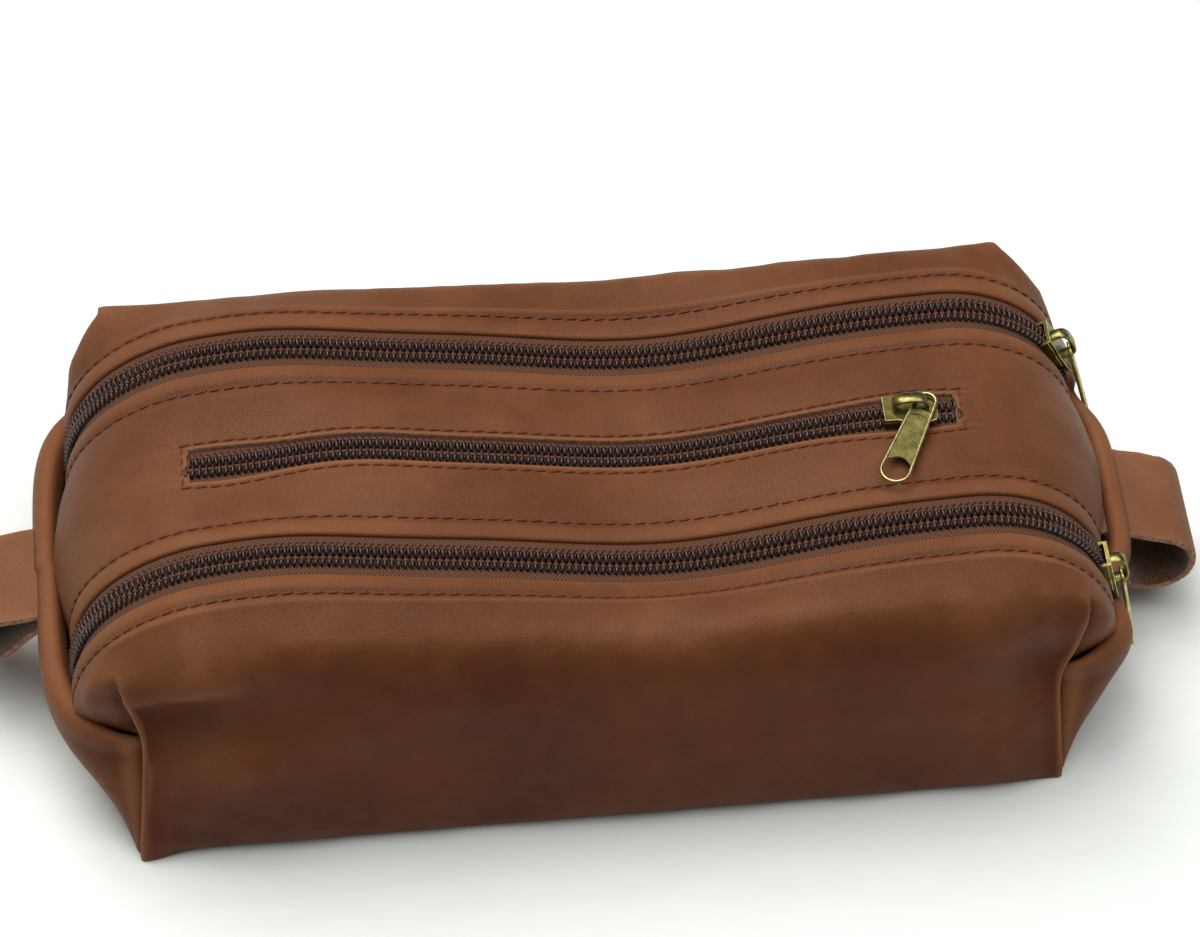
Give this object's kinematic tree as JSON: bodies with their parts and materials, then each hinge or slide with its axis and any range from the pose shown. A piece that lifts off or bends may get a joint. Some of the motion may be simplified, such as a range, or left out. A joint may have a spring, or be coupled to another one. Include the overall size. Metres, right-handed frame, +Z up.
{
  "type": "shaving kit bag",
  "caption": "Boxy leather shaving kit bag with a zip along each top edge, a zipped pocket in the panel between them and a strap loop on each end.",
  "frame": {"origin": "on the surface the bag stands on, under the middle of the bag", "axes": "+X along the bag's length towards the end with the sliders, -Y the front, +Z up"},
  "size_m": [0.2907, 0.117, 0.0713],
  "materials": {
    "leather": "smooth matte waxed leather, fine grain",
    "lining": "plain woven cotton",
    "zip_tape": "herringbone woven tape",
    "coil": "satin nylon coil",
    "thread": "bonded thread",
    "brass": "antique brass plating, worn edges"
  },
  "bodies": {
    "root": {"body_panel": "leather", "centre_panel": "leather", "lining_body": "lining", "lining_centre": "lining", "pocket_bag_front": "lining", "pocket_bag_back": "lining", "front_zip_tape_outer": "zip_tape", "front_zip_coil_outer": "coil", "front_zip_tape_inner": "zip_tape", "front_zip_coil_inner": "coil", "back_zip_tape_inner": "zip_tape", "back_zip_coil_inner": "coil", "back_zip_tape_outer": "zip_tape", "back_zip_coil_outer": "coil", "pocket_zip_tape_front": "zip_tape", "pocket_zip_coil_front": "coil", "pocket_zip_tape_back": "zip_tape", "pocket_zip_coil_back": "coil", "front_stitching_outer": "thread", "front_stitching_inner": "thread", "back_stitching_inner": "thread", "back_stitching_outer": "thread", "pocket_stitching": "thread"},
    "front_slider": {"front_slider_body": "brass", "front_slider_crown": "brass"},
    "front_puller": {"front_puller": "brass"},
    "back_slider": {"back_slider_body": "brass", "back_slider_crown": "brass"},
    "back_puller": {"back_puller": "brass"},
    "pocket_slider": {"pocket_slider_body": "brass", "pocket_slider_crown": "brass"},
    "pocket_puller": {"pocket_puller": "brass"},
    "strap_right": {"strap_right": "leather"},
    "strap_left": {"strap_left": "leather"}
  },
  "joints": [
    {"name": "front_slider_turn", "type": "hinge", "parent": "root", "child": "front_slider", "pos_m": [0.085, -0.03, 0.034], "axis": [0, -1, 0], "range_deg": [0, 77]},
    {"name": "front_puller_swing", "type": "hinge", "parent": "front_slider", "child": "front_puller", "pos_m": [0.12004, -0.03, 0.04004], "axis": [0, -1, 0], "range_deg": [0, 140]},
    {"name": "back_slider_turn", "type": "hinge", "parent": "root", "child": "back_slider", "pos_m": [0.085, 0.03, 0.034], "axis": [0, -1, 0], "range_deg": [0, 62]},
    {"name": "back_puller_swing", "type": "hinge", "parent": "back_slider", "child": "back_puller", "pos_m": [0.11728, 0.03, 0.0489], "axis": [0, -1, 0], "range_deg": [0, 140]},
    {"name": "pocket_slider_travel", "type": "slide", "parent": "root", "child": "pocket_slider", "axis": [-1, 0, 0], "range_m": [0, 0.155]},
    {"name": "pocket_puller_swing", "type": "hinge", "parent": "pocket_slider", "child": "pocket_puller", "pos_m": [0.07785, 0, 0.0686], "axis": [0, 0, 1], "range_deg": [-10, 200]},
    {"name": "strap_right_flex", "type": "hinge", "parent": "root", "child": "strap_right", "pos_m": [0.1223, 0, 0.031], "axis": [0, -1, 0], "range_deg": [-20, 75], "stiffness_Nm_per_rad": 0.02},
    {"name": "strap_left_flex", "type": "hinge", "parent": "root", "child": "strap_left", "pos_m": [-0.1223, 0, 0.031], "axis": [0, 1, 0], "range_deg": [-20, 75], "stiffness_Nm_per_rad": 0.02}
  ]
}
